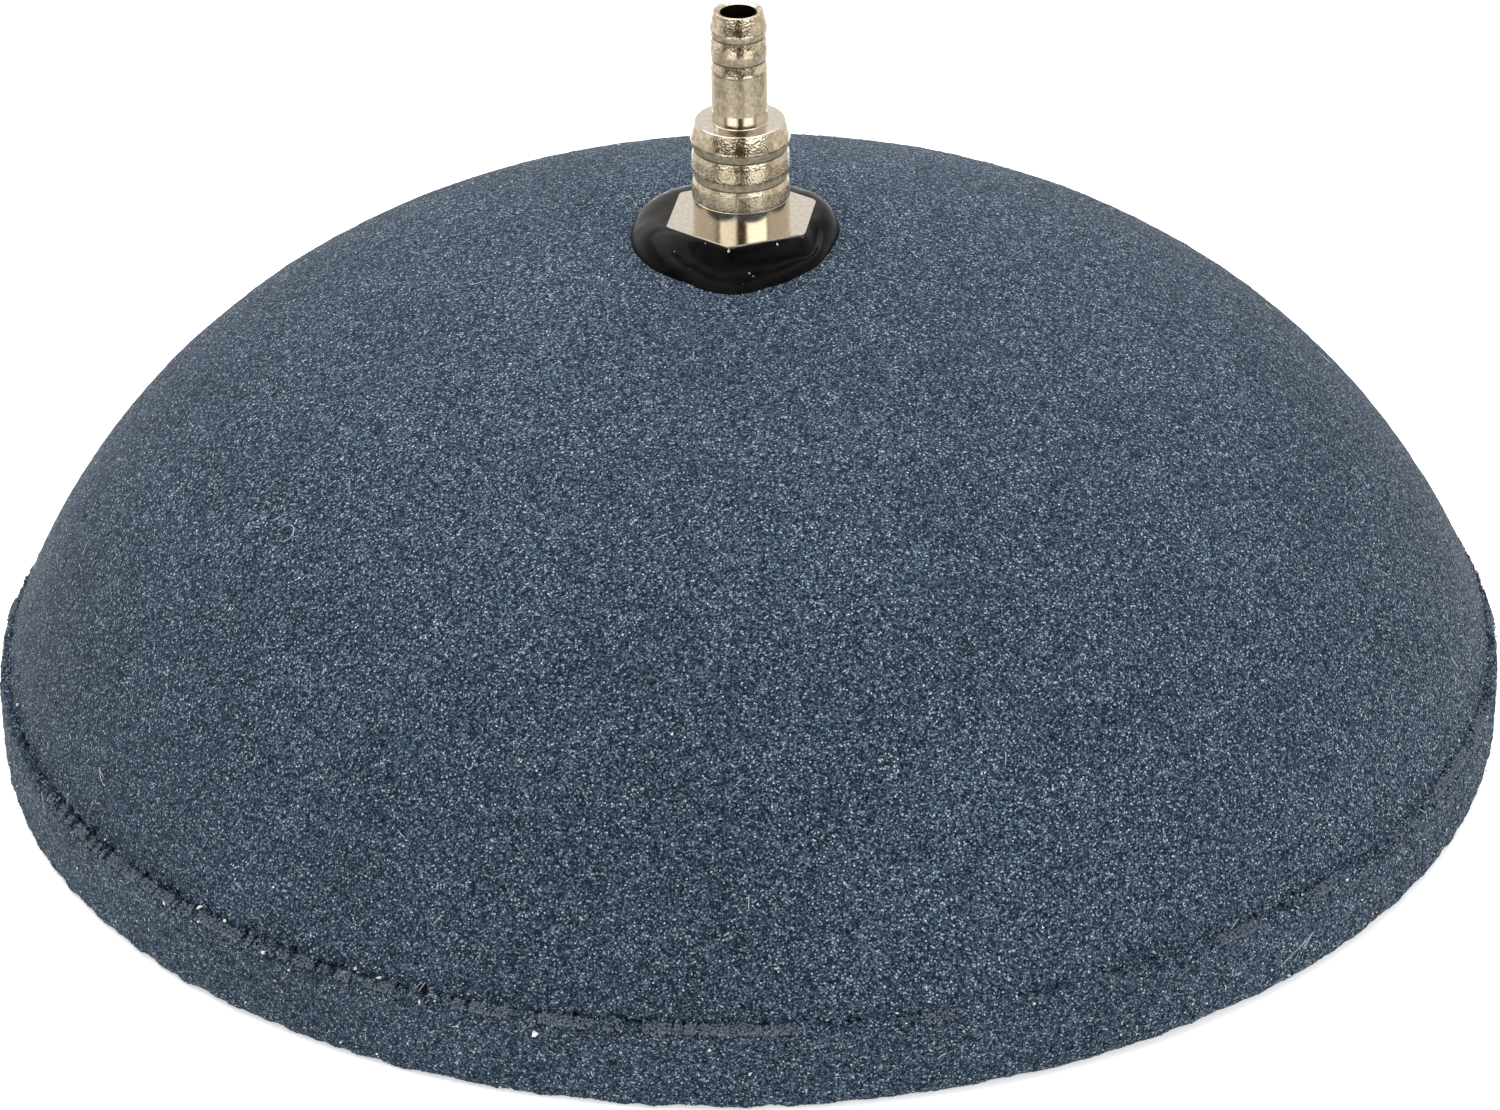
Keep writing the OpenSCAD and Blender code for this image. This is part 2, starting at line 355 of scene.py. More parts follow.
def grain_cloud(name, spots, seed):
    """One mesh of small uneven grains. Each spot is a centre, a size and a length-to-width ratio."""
    rng = np.random.default_rng(seed)
    corners = np.array([(1, 0, 0), (-1, 0, 0), (0, 1, 0), (0, -1, 0), (0, 0, 1), (0, 0, -1)], float)
    sides = [(0, 2, 4), (2, 1, 4), (1, 3, 4), (3, 0, 4), (2, 0, 5), (1, 2, 5), (3, 1, 5), (0, 3, 5)]
    verts, faces = [], []
    for centre, size, stretch in spots:
        shape = corners * rng.uniform(0.6, 1.15, (6, 1)) * size
        shape[:2] *= stretch
        turn = Quaternion(rng.normal(size=4)).normalized().to_matrix()
        shape = shape @ np.array(turn).T + rng.uniform(-0.15, 0.15, (6, 3)) * size
        base = len(verts)
        verts += list(shape + np.array(centre))
        faces += [tuple(base + i for i in side) for side in sides]
    return add_mesh(name, verts, faces, smooth=False)


def seam_grains():
    """Grains that have crumbled from the lip and stuck on the ledge and in the crack."""
    tries = 11000
    rng = np.random.default_rng(51)
    opening = seam_opening(FINE)
    spots = []
    for _ in range(tries):
        a = rng.uniform(0, 2 * math.pi)
        open_here = opening[int(a / (2 * math.pi) * FINE) % FINE]
        r = DISC_R - rng.uniform(0.35, 1.7) * MM
        z = DISC_TOP + rng.uniform(-0.05, 0.18) * MM
        if open_here < 0.35 and rng.random() < 0.5:
            r = DOME_R + rng.uniform(-0.35, 0.15) * MM
            z = DISC_TOP + rng.uniform(0.1, 0.9) * MM
        spots.append(((r * math.cos(a), r * math.sin(a), z), rng.uniform(0.10, 0.24) * MM, 1.0))
    return grain_cloud("seam_grains", spots, 52)


def ledge_crumbs():
    """Crumbs lying in patches on the ledge, thickest at the front left. Their paler colour is painted light,
    for the light falling on the upward-facing ledge.
    """
    tries = 34000
    rng = np.random.default_rng(55)
    angles = ring_angles(FINE)
    opening = seam_opening(FINE)
    circle = np.stack([np.cos(angles), np.sin(angles), 0 * angles], axis=1) * DISC_R
    patches = smooth_noise(circle, 6 * MM, 56) + 0.35 * smooth_noise(circle, 1.6 * MM, 57)
    wanted = patches + 0.55 * bell(angles, 232, 34) + 0.25 * bell(angles, 300, 50) - 0.15
    spots = []
    for _ in range(tries):
        a = rng.uniform(0, 2 * math.pi)
        here = int(a / (2 * math.pi) * FINE) % FINE
        if wanted[here] < rng.uniform(0, 0.5) or opening[here] > 0.4:
            continue
        across = rng.uniform(0.0, 1.0)
        r = DISC_R - (0.05 + across) * MM
        # on the fillet's own curve, so that the crumbs lie on it
        z = DISC_TOP + rng.uniform(-0.12, 0.12) * MM + FILLET_HEIGHT * (across * MM / FILLET_REACH) ** 1.5
        spots.append(((r * math.cos(a), r * math.sin(a), z), rng.uniform(0.09, 0.20) * MM, 1.0))
    return grain_cloud("ledge_crumbs", spots, 58)


# The clearest pale chips: azimuth in degrees, distance up the skin and size in millimetres, length ratio
CLEAR_CHIPS = ((-105.1, 9.3, 0.50, 1.2), (-133.3, 11.9, 0.24, 2.6), (-130.7, 11.9, 0.24, 2.4),
               (-126.4, 10.9, 0.36, 1.2), (-124.1, 9.8, 0.22, 1.6), (-119.0, 12.2, 0.24, 2.2),
               (-117.0, 11.9, 0.24, 2.4), (-113.5, 10.9, 0.22, 2.2), (-110.7, 8.5, 0.16, 2.6),
               (-145, 12.4, 0.18, 1.5), (-127.1, 18.3, 0.26, 1.0), (-128.4, 2.3, 0.22, 1.2),
               (-120.0, 1.8, 0.24, 1.3), (-117.1, 1.7, 0.24, 1.3), (-93.1, 8.8, 0.30, 1.4),
               (-90.4, 5.4, 0.20, 2.4), (-83.4, 4.4, 0.22, 1.8), (-80.9, 15.2, 0.22, 1.4),
               (-80.2, 11.9, 0.20, 2.0), (-71.6, 11.6, 0.24, 1.8), (-70.6, 10.9, 0.20, 1.4),
               (-49, 1.8, 0.26, 1.2), (-41, 6.3, 0.20, 1.2), (-43, 10.9, 0.24, 1.2), (-58, 4.1, 0.18, 2.4))


def pale_chips():
    """Pale mineral chips: the clear ones above, more along the rim and a few all over the dome."""
    lift = 0.10 * MM
    rng = np.random.default_rng(61)
    chosen = [(math.radians(a), s * MM, size * MM, ratio) for a, s, size, ratio in CLEAR_CHIPS]
    for count, low, high, largest in ((150, 0.8, 13.0, 0.19), (190, 13.0, 125.0, 0.14)):
        for _ in range(count):
            chosen.append((rng.uniform(0, 2 * math.pi), rng.uniform(low, high) * MM,
                           rng.uniform(0.07, largest) * MM, rng.uniform(1.0, 2.0)))
    spots = [(skin_point(a, s, lift)[0], size, ratio) for a, s, size, ratio in chosen]
    return grain_cloud("pale_chips", spots, 62)


# The clearest fibres: azimuth in degrees, distance up the skin in millimetres, heading from level in
# degrees, length in millimetres, and curl in degrees per millimetre
CLEAR_FIBRES = ((-49.9, 3.9, 21, 6.6, 0), (-47.6, 4.6, 40, 2.4, 8), (-54.6, 11.2, 35, 2.6, -3),
                (-32.2, 11.6, -75, 2.4, 3), (-143.5, 56.5, 10, 5.5, 48), (-148.6, 19.5, -60, 3.0, 22),
                (-90.3, 25.2, 88, 1.8, 0), (-148.0, 14.2, 70, 1.2, 30), (-60.5, 66.0, 100, 1.6, 5),
                (-114.4, 11.2, 52, 2.0, 0), (-113.9, 11.4, 58, 1.6, 4), (-113.6, 19.6, 55, 1.9, 0),
                (-111.2, 8.3, 10, 1.8, 40), (-154.0, 8.6, 110, 2.6, -8))


def fibres():
    """Fine pale fibres caught in the grit, each a thin tube that follows the skin."""
    fibre_r, lift, step, sides = 0.05 * MM, 0.11 * MM, 0.25 * MM, 5
    rng = np.random.default_rng(71)
    chosen = [(math.radians(a), s * MM, math.radians(h), length * MM, math.radians(c) / MM)
              for a, s, h, length, c in CLEAR_FIBRES]
    for _ in range(26):
        chosen.append((rng.uniform(0, 2 * math.pi), rng.uniform(2, 100) * MM, rng.uniform(0, math.pi),
                       rng.uniform(0.8, 2.2) * MM, math.radians(rng.uniform(-30, 30)) / MM))
    verts, faces = [], []
    for azimuth, s, heading, length, curl in chosen:
        steps = max(6, int(length / step))
        path = []
        for _ in range(steps + 1):
            path.append(skin_point(azimuth, s, lift))
            azimuth += math.cos(heading) * length / steps / skin(s)[0]
            s += math.sin(heading) * length / steps
            heading += curl * length / steps
        base = len(verts)
        for i, (point, out) in enumerate(path):
            ahead = (path[min(i + 1, steps)][0] - path[max(i - 1, 0)][0]).normalized()
            across = ahead.cross(out).normalized()
            radius = fibre_r * (0.5 if i in (0, steps) else 1.0)
            for k in range(sides):
                turn = 2 * math.pi * k / sides
                verts.append(point + (across * math.cos(turn) + out * math.sin(turn)) * radius)
        for i in range(steps):
            faces += strip(base + i * sides, sides, base + (i + 1) * sides, sides)
        faces.append(tuple(range(base, base + sides)))
        faces.append(tuple(range(base + steps * sides, base + (steps + 1) * sides))[::-1])
    piece = add_mesh("stray_fibres", verts, faces)
    face_outward(piece)
    return piece


# ---------------------------------------------------------------- fitting
def barb_outline(foot, top, tip_r, ridge_r, taper, pitch, bevels, neck, stem_r):
    """Outer face of one barb from its foot up to its flat end: three ridges with grooves between them."""
    first = top - 2.55 * MM
    result = [(stem_r, foot), (stem_r, first - 2 * pitch - 0.15 * MM)]
    for i in (2, 1, 0):
        widest, r = first - i * pitch, ridge_r - i * taper
        result += [(r, widest), (r, widest + 0.3 * MM)]
        if i:
            above = widest + pitch - bevels[i - 1]
            result += [(r - neck * 0.25, above - 0.9 * MM), (r - neck + 0.05 * MM, above - 0.14 * MM),
                       (r - neck - 0.04 * MM, above - 0.07 * MM), (r - neck + 0.14 * MM, above)]
    return result + [(tip_r, top)]


def hex_reach(a, corner_round):
    """Distance from the axis to the hexagon's side at an angle, as a share of the corner's distance."""
    b = (a - HEX_TURN) % (math.pi / 3) - math.pi / 6
    reach = math.cos(math.pi / 6) / math.cos(b)
    return min(reach, 1 - corner_round * 0.5)


def fitting_mesh():
    """The turned part, from the shank's end up to the small barb's flat end, and the hexagon round it."""
    segments, edge_round = 168, 0.12 * MM
    shank_end, shank_r, shank_tip_r, neck_r, stem_r = fitting_low.z, 6.9 * MM, 6.08 * MM, 6.0 * MM, 6.25 * MM
    outline = [(BORE_R, shank_end), (shank_tip_r, shank_end), (shank_r, shank_end + 1 * MM),
               (shank_r, LAND_Z - 1.5 * MM), (neck_r, LAND_Z - 1.4 * MM), (neck_r, LAND_Z + 1 * MM),
               (stem_r, LAND_Z + 1 * MM)]
    outline += barb_outline(HEX_TOP, LARGE_TOP, tip_r=5.78 * MM, ridge_r=6.42 * MM, taper=0.045 * MM,
                            pitch=3.9 * MM, bevels=(1.1 * MM, 1.1 * MM), neck=0.42 * MM, stem_r=stem_r)
    outline += barb_outline(LARGE_TOP, SMALL_TOP, tip_r=3.16 * MM, ridge_r=3.68 * MM, taper=0.015 * MM,
                            pitch=2.75 * MM, bevels=(0.75 * MM, 1.19 * MM), neck=0.28 * MM,
                            stem_r=3.61 * MM)
    # a bevel leads into the gas passage
    outline += [(BORE_R + 0.45 * MM, SMALL_TOP), (BORE_R, SMALL_TOP - 0.32 * MM)]
    points = lathe_points(rounded(outline, edge_round), segments)
    rings = points.shape[0]
    verts = list(points.reshape(-1, 3))
    faces = []
    for i in range(rings):
        faces += strip(i * segments, segments, (i + 1) % rings * segments, segments)

    # the hexagon is a ring of its own round the stem
    base = len(verts)
    chamfer, inner_r = 0.12 * MM, 5.8 * MM
    levels = [(inner_r, LAND_Z, True), (HEX_CORNER, LAND_Z, False), (HEX_CORNER, HEX_TOP - chamfer, False),
              (HEX_CORNER - chamfer, HEX_TOP, False), (inner_r, HEX_TOP, True)]
    for size, height, is_round in levels:
        for j in range(segments):
            a = 2 * math.pi * j / segments
            r = size if is_round else size * hex_reach(a, corner_round=0.03)
            verts.append((r * math.cos(a), r * math.sin(a), height))
    for i in range(len(levels)):
        faces += strip(base + i * segments, segments, base + (i + 1) % len(levels) * segments, segments)
    piece = add_mesh("turned_fitting", verts, faces)
    sharpen(piece, 40)
    return piece


def sharpen(piece, degrees):
    """Keeps edges sharper than an angle crisp in the smooth shading."""
    mesh = piece.data
    bm = bmesh.new()
    bm.from_mesh(mesh)
    bmesh.ops.recalc_face_normals(bm, faces=bm.faces)
    for edge in bm.edges:
        edge.smooth = edge.calc_face_angle(0) < math.radians(degrees)
    bm.to_mesh(mesh)
    bm.free()


# ---------------------------------------------------------------- sealant
# Edge of the sealant on the crown: angle from +X in degrees, and radius in millimetres
SEALANT_EDGE = ((-150, 14.4), (-120, 14.9), (-97, 16.5), (-75, 15.0), (-55, 13.7), (-22, 12.3),
                (10, 12.9), (45, 13.9), (80, 14.3), (112, 14.8), (145, 15.2), (173, 14.5))


def catmull(p0, p1, p2, p3, t):
    return 0.5 * (2 * p1 + (p2 - p0) * t + (2 * p0 - 5 * p1 + 4 * p2 - p3) * t * t
                  + (3 * p1 - p0 - 3 * p2 + p3) * t ** 3)


def sealant_edge(degrees):
    """Radius of the sealant's edge at an azimuth, by a smooth curve through the values above."""
    known = [(d + lap, r * MM) for lap in (-360, 0, 360) for d, r in SEALANT_EDGE]
    i = max(k for k, (d, _) in enumerate(known) if d <= degrees)
    t = (degrees - known[i][0]) / (known[i + 1][0] - known[i][0])
    return catmull(*(r for _, r in known[i - 1:i + 3]), t)


def sealant_mesh():
    """A pillow of sealant on the hexagon's sides and back, and at its front a wall above a rolled bead."""
    segments, steps = 280, 30
    shares = [0.5 - 0.5 * math.cos(math.pi * (k / steps) ** 0.9) for k in range(steps + 1)]
    rows = []
    for j in range(segments):
        a = 2 * math.pi * j / segments
        degrees = (math.degrees(a) + 180) % 360 - 180
        edge = sealant_edge(degrees)
        inner = HEX_CORNER * hex_reach(a, corner_round=0.06) - 0.12 * MM
        around = Vector((math.cos(a), math.sin(a), 0))
        front = min(1, max(0, (78 - abs(degrees + 80)) / 45))
        front = front * front * (3 - 2 * front)
        top = HEX_TOP - (0.22 + 0.10 * noise.noise(around * 3)) * MM
        bead = 0.25 + 0.07 * noise.noise(around * 2.4 + Vector((0, 0, 5)))
        bead_at = 0.77 + 0.05 * noise.noise(around * 2 + Vector((0, 0, 9)))
        full = 2.3 + 0.7 * noise.noise(around * 1.7 + Vector((0, 0, 3)))
        row = [(inner, crown_height(edge) - 0.6 * MM)]
        for u in shares:
            r = inner + (edge - inner) * u
            ground = crown_height(r) - 0.03 * MM
            tuck = (1 - u ** 9) ** 0.5
            pillow = (1 - u ** full) ** 0.62
            wall = 0.97 * math.exp(-(u / 0.27) ** 1.7) + 0.03 * (1 - u)
            wall += bead * math.exp(-((u - bead_at) / 0.26) ** 2)
            share = pillow + (min(wall, 1.0) * tuck - pillow) * front
            row.append((r, ground + (top - ground) * share))
        row.append((edge - 0.3 * MM, crown_height(edge) - 0.6 * MM))
        rows.append([(r * math.cos(a), r * math.sin(a), z) for r, z in row])
    points = np.array(rows).transpose(1, 0, 2)
    free = np.sin(np.linspace(0, math.pi, steps + 1))[:, None]
    lumps = smooth_noise(points, 5 * MM, 41) * 0.22 * MM + smooth_noise(points, 2.1 * MM, 42) * 0.05 * MM
    points[1:-1, :, 2] += lumps[1:-1] * free
    return ring_mesh("sealant_mound", points, loop=True)


def specks_and_painted_glints():
    """Pale specks stuck to the polished metal, and pale blobs on the sealant's rim that are painted glints.
    """
    hex_front = HEX_CORNER + 0.15 * MM
    # azimuth in degrees, radius and height in metres, and size in millimetres; the first two and the last
    # two sit on the sealant and are painted glints, the other three are pale specks on the metal
    places = ((-99.5, hex_front, HEX_TOP - 0.55 * MM, 0.22), (-62, 9.6 * MM, HEX_TOP - 0.5 * MM, 0.20),
              (-148, 6.3 * MM, HEX_TOP + 1.5 * MM, 0.10), (-128, 6.3 * MM, HEX_TOP + 0.9 * MM, 0.11),
              (32, 8.3 * MM, HEX_TOP + 0.04 * MM, 0.10), (-86, 12.6 * MM, HEX_TOP - 2.6 * MM, 0.16),
              (-84, 13.2 * MM, HEX_TOP - 2.8 * MM, 0.12))
    spots = []
    for degrees, r, z, size in places:
        a = math.radians(degrees)
        spots.append(((r * math.cos(a), r * math.sin(a), z), size * MM, 1.2))
    return grain_cloud("specks_and_painted_glints", spots, 81)


# ---------------------------------------------------------------- materials
class Nodes:
    """A short way to build a material's node tree."""

    def __init__(self, name):
        self.material = bpy.data.materials.new(name)
        self.material.use_nodes = True
        self.tree = self.material.node_tree
        self.shader = self.tree.nodes["Principled BSDF"]

    def add(self, kind, inputs=None, **settings):
        node = self.tree.nodes.new(kind)
        for key, value in settings.items():
            setattr(node, key, value)
        for key, value in (inputs or {}).items():
            self.feed(node.inputs[key], value)
        return node

    def feed(self, socket, value):
        if isinstance(value, bpy.types.NodeSocket):
            self.tree.links.new(value, socket)
        else:
            socket.default_value = value

    def math(self, operation, a, b=0.0, c=0.0):
        return self.add("ShaderNodeMath", {0: a, 1: b, 2: c}, operation=operation).outputs[0]

    def vector(self, operation, a, b=(0, 0, 0), scale=None):
        node = self.add("ShaderNodeVectorMath", {0: a, 1: b}, operation=operation)
        if scale is not None:
            self.feed(node.inputs["Scale"], scale)
        return node.outputs[0]

    def spread(self, value, from_low, from_high, to_low, to_high, smooth=True):
        node = self.add("ShaderNodeMapRange", {0: value, 1: from_low, 2: from_high, 3: to_low, 4: to_high})
        node.interpolation_type = "SMOOTHSTEP" if smooth else "LINEAR"
        return node.outputs[0]

    def noise(self, at, scale, detail=2.0, roughness=0.5):
        return self.add("ShaderNodeTexNoise", {"Vector": at, "Scale": scale, "Detail": detail,
                                               "Roughness": roughness})

    def cells(self, at, scale):
        return self.add("ShaderNodeTexVoronoi", {"Vector": at, "Scale": scale})

    def channel(self, colour, index):
        return self.add("ShaderNodeSeparateColor", {0: colour}).outputs[index]

    def ramp(self, value, stops):
        node = self.add("ShaderNodeValToRGB", {0: value})
        ramp = node.color_ramp
        while len(ramp.elements) < len(stops):
            ramp.elements.new(0.5)
        for element, (position, colour) in zip(ramp.elements, stops):
            element.position = position
            element.color = (*colour, 1)
        return node.outputs[0]

    def mix(self, amount, a, b, blend="MIX"):
        node = self.add("ShaderNodeMix", data_type="RGBA", blend_type=blend)
        for socket, value in ((node.inputs[0], amount), (node.inputs[6], a), (node.inputs[7], b)):
            if isinstance(value, tuple) and len(value) == 3:
                value = (*value, 1)
            self.feed(socket, value)
        return node.outputs[2]

    def dim(self, colour, level):
        """The colour times a level that varies over the surface."""
        grey = self.add("ShaderNodeCombineColor", {0: level, 1: level, 2: level}).outputs[0]
        return self.mix(1.0, colour, grey, "MULTIPLY")

    def coordinates(self):
        return self.add("ShaderNodeTexCoord").outputs["Object"]


def grit_material(name, shift):
    """Bonded mineral grains a fifth of a millimetre across, each with its own shade, tilt and gloss, and
    painted shade in the gaps between them.
    """
    n = Nodes(name)
    at = n.vector("ADD", n.coordinates(), (shift, 0, 0))
    grains = n.cells(at, GRAIN_SCALE)
    shade, gloss = n.channel(grains.outputs["Color"], 0), n.channel(grains.outputs["Color"], 1)
    colour = n.ramp(shade, GRAIN_SHADES)
    clump = n.noise(at, 900.0, 1.0).outputs[0]
    cloud = n.noise(at, 60.0, 3.0).outputs[0]
    patch = n.noise(at, 14.0, 2.0).outputs[0]
    level = n.math("MULTIPLY", n.spread(cloud, 0.3, 0.7, 0.94, 1.06), n.spread(patch, 0.3, 0.7, 0.95, 1.05))
    level = n.math("MULTIPLY", level, n.spread(clump, 0.3, 0.7, 0.87, 1.13))
    # painted shade: the colour darkens towards each grain's edge, in the gaps between grains
    gap_shade = n.spread(grains.outputs["Distance"], 0.35, 0.75, 1.0, 0.25)
    colour = n.dim(colour, n.math("MULTIPLY", level, gap_shade))
    n.feed(n.shader.inputs["Base Color"], colour)
    n.shader.inputs["Specular IOR Level"].default_value = 0.14
    n.feed(n.shader.inputs["Roughness"], n.spread(gloss, 0.0, 1.0, 0.40, 0.95, smooth=False))
    # each grain's face has its own tilt
    tilt = n.vector("SUBTRACT", grains.outputs["Color"], (0.5, 0.5, 0.5))
    tilt = n.vector("SCALE", tilt, scale=1.2)
    facing = n.add("ShaderNodeNewGeometry").outputs["Normal"]
    facing = n.vector("NORMALIZE", n.vector("ADD", facing, tilt))
    bump = n.add("ShaderNodeBump", {"Strength": 0.6, "Distance": 0.00012, "Normal": facing,
                                    "Height": n.math("SUBTRACT", 1.0, grains.outputs["Distance"])})
    n.feed(n.shader.inputs["Normal"], bump.outputs[0])
    return n.material


# Finish of the plating up from the hexagon's top: height in millimetres, roughness, matt paleness, and
# painted shade in the grooves
FINISH_BANDS = ((0, 0.14, 0, 0), (2.85, 0.28, 0.15, 0), (5.45, 0.4, 0, 1), (5.65, 0.45, 0.6, 0),
                (6.75, 0.22, 0, 0), (9.35, 0.4, 0, 1), (9.55, 0.45, 0.6, 0), (10.65, 0.19, 0, 0),
                (13.1, 0.14, 0, 0),
                (14.9, 0.40, 0.45, 0), (20.25, 0.2, 0, 0), (21.6, 0.4, 0, 1), (21.8, 0.45, 0.6, 0),
                (23.0, 0.2, 0, 0), (24.8, 0.4, 0, 1), (25.0, 0.45, 0.6, 0), (25.75, 0.19, 0, 0))


def nickel_material():
    """Nickel plate: satin on the barbs, polished on the stems and the hexagon, with painted shade in the
    grooves and, near-black, in the gas passage.
    """
    satin_dark, satin_pale = (0.46, 0.39, 0.275), (0.72, 0.64, 0.49)
    matt_dark, matt_pale = (0.46, 0.385, 0.27), (0.64, 0.565, 0.43)
    polished_dark, polished_pale, side_tone = (0.56, 0.515, 0.445), (0.62, 0.575, 0.505), (0.62, 0.545, 0.42)
    blotch_brown, pit_brown, groove_shade_brown, bore_shade = ((0.24, 0.18, 0.11), (0.16, 0.11, 0.07),
                                                       (0.05, 0.035, 0.02), (0.020, 0.012, 0.008))
    n = Nodes("nickel_plate_look")
    at = n.coordinates()
    z = n.add("ShaderNodeSeparateXYZ", {0: at}).outputs[2]
    height = n.spread(z, HEX_TOP, SMALL_TOP, 0.0, 1.0, smooth=False)
    tall, blend = (SMALL_TOP - HEX_TOP) / MM, 0.10
    # each band starts with a short blend from the one below it
    stops = []
    for (start, *after), (_, *before) in zip(FINISH_BANDS[1:], FINISH_BANDS):
        stops += [((start - blend / 2) / tall, before), ((start + blend / 2) / tall, after)]
    bands = n.add("ShaderNodeSeparateColor", {0: n.ramp(height, stops)}).outputs
    finish, matt, groove_shade = bands[0], bands[1], bands[2]
    satin = n.spread(finish, 0.15, 0.19, 0.0, 1.0)

    pits = n.cells(at, 3200.0).outputs["Distance"]
    mottle = n.noise(at, 1500.0, 3.0, 0.6).outputs[0]
    blotch = n.noise(at, 420.0, 3.0, 0.6).outputs[0]
    stretched = n.vector("MULTIPLY", at, (1.0, 1.0, 22.0))
    turning = n.noise(stretched, 260.0, 4.0, 0.65).outputs[0]
    tone = n.spread(mottle, 0.35, 0.65, 0.0, 1.0)
    satin_colour = n.mix(tone, satin_dark, satin_pale)
    satin_colour = n.mix(n.spread(blotch, 0.42, 0.66, 0.0, 0.45), satin_colour, blotch_brown)
    stain = n.spread(pits, 0.0, 0.22, 0.6, 0.0)
    satin_colour = n.mix(stain, satin_colour, pit_brown)
    satin_colour = n.mix(matt, satin_colour, n.mix(tone, matt_dark, matt_pale))
    polished_colour = n.mix(tone, polished_dark, polished_pale)
    # the polish is yellower everywhere but on the two flat faces, of the hexagon and of the large barb
    off_face = n.math("MINIMUM", n.math("ABSOLUTE", n.math("SUBTRACT", z, HEX_TOP)),
                      n.math("ABSOLUTE", n.math("SUBTRACT", z, LARGE_TOP)))
    polished_colour = n.mix(n.spread(off_face, 0.06 * MM, 0.2 * MM, 0.0, 1.0), polished_colour, side_tone)
    colour = n.mix(satin, polished_colour, satin_colour)
    # painted shade: each groove under a ridge is darkened to brown where shadow falls
    colour = n.mix(n.math("MULTIPLY", groove_shade, 0.85), colour, groove_shade_brown)
    radius = n.add("ShaderNodeVectorMath", {0: n.vector("MULTIPLY", at, (1.0, 1.0, 0.0))},
                   operation="LENGTH").outputs["Value"]
    # painted shade: the gas passage is coloured near-black for the shade inside the bore
    bore = n.spread(radius, BORE_R + 0.02 * MM, BORE_R + 0.12 * MM, 1.0, 0.0)
    n.feed(n.shader.inputs["Base Color"], n.mix(bore, colour, bore_shade))
    n.feed(n.shader.inputs["Metallic"], n.spread(matt, 0.0, 1.0, 1.0, 0.35))
    n.shader.inputs["Specular IOR Level"].default_value = 0.2
    rough = n.math("MULTIPLY_ADD", n.math("SUBTRACT", mottle, 0.5), 0.35, finish)
    rough = n.add("ShaderNodeMix", {0: bore, 2: rough, 3: 0.6}).outputs[0]
    n.feed(n.shader.inputs["Roughness"], rough)
    grooves = n.add("ShaderNodeBump", {"Strength": 0.25, "Distance": 0.00003, "Height": turning})
    rough_bump = n.add("ShaderNodeBump", {"Strength": n.math("MULTIPLY", satin, 0.5), "Distance": 0.00005,
                                          "Height": n.math("ADD", mottle, pits),
                                          "Normal": grooves.outputs[0]})
    n.feed(n.shader.inputs["Normal"], rough_bump.outputs[0])
    return n.material


def sealant_material():
    """Cured black sealant: glossy, with soft smears and a little dust, and a duller front."""
    black, black_smeared, dust_grey = (0.002, 0.002, 0.002), (0.005, 0.005, 0.005), (0.20, 0.20, 0.19)
    n = Nodes("sealant_look")
    at = n.coordinates()
    smear = n.noise(at, 420.0, 3.0, 0.5).outputs[0]
    dust = n.cells(at, 1500.0)
    speck = n.math("MULTIPLY", n.spread(n.channel(dust.outputs["Color"], 0), 0.985, 0.99, 0.0, 1.0),
                   n.spread(dust.outputs["Distance"], 0.12, 0.2, 1.0, 0.0))
    colour = n.mix(n.spread(smear, 0.3, 0.7, 0.0, 1.0), black, black_smeared)
    colour = n.mix(speck, colour, dust_grey)
    n.feed(n.shader.inputs["Base Color"], colour)
    side = n.add("ShaderNodeSeparateXYZ", {0: at}).outputs
    gloss = n.math("MULTIPLY", n.spread(side[1], -11.5 * MM, -4 * MM, 0.015, 0.09),
                   n.spread(side[0], -12 * MM, 8 * MM, 1.0, 0.8))
    n.feed(n.shader.inputs["Specular IOR Level"], gloss)
    n.feed(n.shader.inputs["Roughness"], n.spread(smear, 0.3, 0.7, 0.18, 0.34))
    bump = n.add("ShaderNodeBump", {"Strength": 0.25, "Distance": 0.0002, "Height": smear})
    n.feed(n.shader.inputs["Normal"], bump.outputs[0])
    return n.material


def mottled_material(name, dark, pale, metallic, rough, scale):
    """A noise-mottled material for crumbs, chips, fibres, the adhesive and the pieces inside the dome."""
    n = Nodes(name)
    at = n.coordinates()
    mottle = n.noise(at, scale, 4.0, 0.6).outputs[0]
    n.feed(n.shader.inputs["Base Color"], n.mix(n.spread(mottle, 0.3, 0.7, 0.0, 1.0), dark, pale))
    n.shader.inputs["Metallic"].default_value = metallic
    n.feed(n.shader.inputs["Roughness"], n.spread(mottle, 0.3, 0.7, rough - 0.1, rough + 0.1))
    bump = n.add("ShaderNodeBump", {"Strength": 0.4, "Distance": 0.0001, "Height": mottle})
    n.feed(n.shader.inputs["Normal"], bump.outputs[0])
    return n.material


def dress(piece, material):
    piece.data.materials.clear()
    piece.data.materials.append(material)


# ---------------------------------------------------------------- the object
disc_grit = grit_material("grit_disc_look", shift=0.31)
# the crumbs' paler colour is painted light on the upward-facing ledge
crumb_painted_light_look = mottled_material("ledge_crumb_painted_light_look", (0.035, 0.048, 0.070), (0.170, 0.198, 0.235),
                              metallic=0.0, rough=0.8, scale=3500.0)
# one pale look for the mineral chips and for the painted glints on the sealant
chip_and_painted_glint_look = mottled_material("chip_and_painted_glint_look", (0.42, 0.43, 0.43), (0.80, 0.80, 0.78),
                             metallic=0.0, rough=0.4, scale=1500.0)
fibre_look = mottled_material("fibre_look", (0.24, 0.27, 0.31), (0.55, 0.58, 0.62),
                              metallic=0.0, rough=0.45, scale=900.0)

